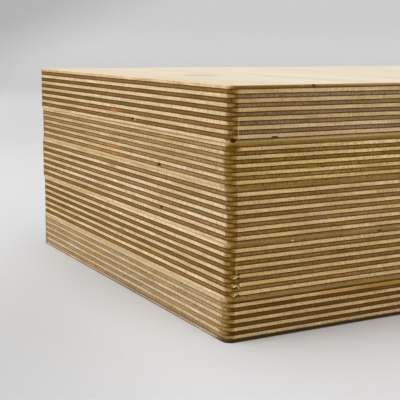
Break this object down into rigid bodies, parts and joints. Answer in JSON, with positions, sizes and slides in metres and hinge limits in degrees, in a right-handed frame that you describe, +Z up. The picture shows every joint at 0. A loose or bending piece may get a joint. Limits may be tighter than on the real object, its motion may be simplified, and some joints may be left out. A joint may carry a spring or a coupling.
{
  "type": "stack of plywood sheets",
  "caption": "Square-cut birch plywood sheets with rounded corners, piled nearly flush, with the layered veneers showing in their edges.",
  "frame": {"origin": "on the floor, under the middle of the stack's bounding box", "axes": "+X along the sheets, +Y across them, along the grain of their faces, +Z up"},
  "size_m": [0.3006, 0.1758, 0.083],
  "materials": {
    "birch_plywood": "matte"
  },
  "bodies": {
    "root": {"bottom_sheet": "birch_plywood", "second_sheet": "birch_plywood", "middle_sheet": "birch_plywood", "fourth_sheet": "birch_plywood", "top_sheet": "birch_plywood"}
  },
  "joints": []
}
